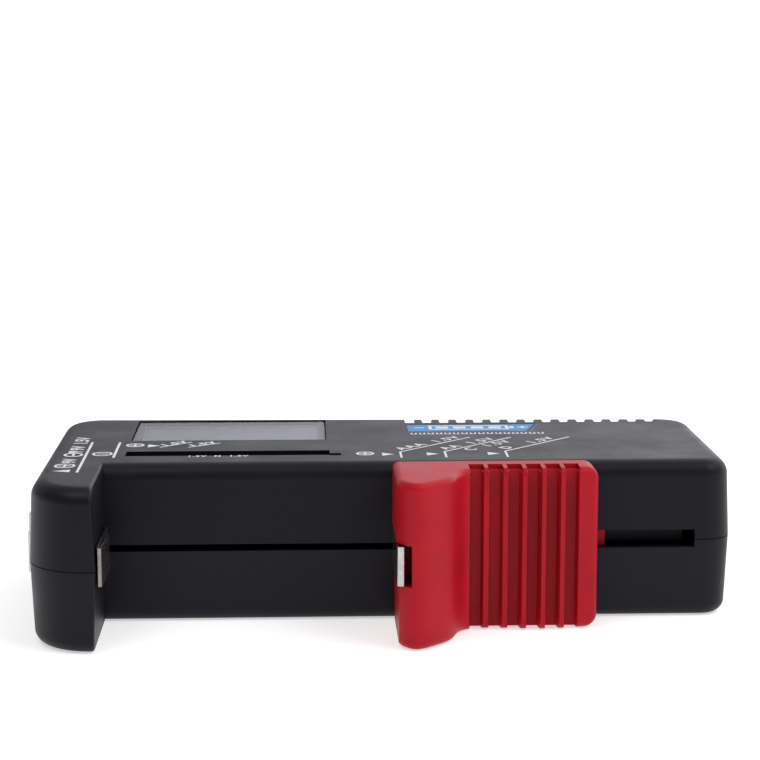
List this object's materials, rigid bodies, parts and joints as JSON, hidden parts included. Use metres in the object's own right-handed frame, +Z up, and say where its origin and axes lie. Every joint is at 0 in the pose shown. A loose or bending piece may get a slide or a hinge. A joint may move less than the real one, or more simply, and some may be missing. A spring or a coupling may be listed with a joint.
{
  "type": "battery tester",
  "caption": "Flat handheld battery tester: L-shaped casing with a display, a small-cell slot and a ribbed sliding jaw that closes on a cell against the head.",
  "frame": {"origin": "bottom centre of the tester's bounding box, on the surface it lies on", "axes": "+X from the head to the tail, +Y from the cell bay to the ribbed far side, +Z up through the display"},
  "size_m": [0.109, 0.06, 0.0254],
  "materials": {
    "casing_black": "fine matt spark texture",
    "jaw_red": "satin, fine grain",
    "window_clear": "clear, polished",
    "badge_blue": "printed gloss film",
    "label_silver": "printed foil film",
    "screw_steel": "plated",
    "nickel_plate": "nickel-plated spring steel",
    "phosphor_bronze": "rolled sheet",
    "board_green": "glass-epoxy laminate",
    "lcd_glass": "polarised glass",
    "reflector_foil": "diffuse foil",
    "holder_white": "moulded",
    "elastomer": "layered silicone",
    "epoxy_black": "glob-top resin",
    "resistor_body": "lacquered",
    "chip_ceramic": "sintered ceramic",
    "capacitor_sleeve": "shrunk sleeve",
    "cell_jacket": "foil jacket",
    "lead_black": "insulation",
    "lead_red": "insulation",
    "lead_yellow": "insulation"
  },
  "bodies": {
    "root": {"upper_shell": "casing_black", "lower_shell": "casing_black", "display_window": "window_clear", "badge_plate": "badge_blue", "back_label": "label_silver", "casing_screws": "screw_steel", "board_screws": "screw_steel", "contact_rail": "phosphor_bronze", "head_contact_strip": "nickel_plate", "nine_volt_minus_contact": "nickel_plate", "nine_volt_plus_contact": "nickel_plate", "mini_cell_plus_contact": "nickel_plate", "mini_cell_minus_contact": "nickel_plate", "main_board": "board_green", "lcd_panel": "lcd_glass", "lcd_reflector": "reflector_foil", "lcd_holder": "holder_white", "zebra_strip": "elastomer", "chip_blob": "epoxy_black", "load_resistors": "resistor_body", "smd_parts": "chip_ceramic", "electrolytic_capacitor": "capacitor_sleeve", "supply_cell": "cell_jacket", "cell_plus_contact": "nickel_plate", "cell_spring": "nickel_plate", "lead_common": "lead_black", "lead_nine_volt": "lead_red", "lead_slide": "lead_yellow", "lead_cell_plus": "lead_red", "lead_cell_minus": "lead_black"},
    "slide": {"slide_grip": "jaw_red", "slide_contact_strip": "nickel_plate", "slide_wiper": "phosphor_bronze", "wiper_rivets": "nickel_plate"},
    "door": {"battery_door": "casing_black"}
  },
  "joints": [
    {"name": "jaw_slide", "type": "slide", "parent": "root", "child": "slide", "axis": [1, 0, 0], "range_m": [-0.0163, 0.018]},
    {"name": "battery_door_slide", "type": "slide", "parent": "root", "child": "door", "axis": [1, 0, 0], "range_m": [0, 0.054]}
  ]
}
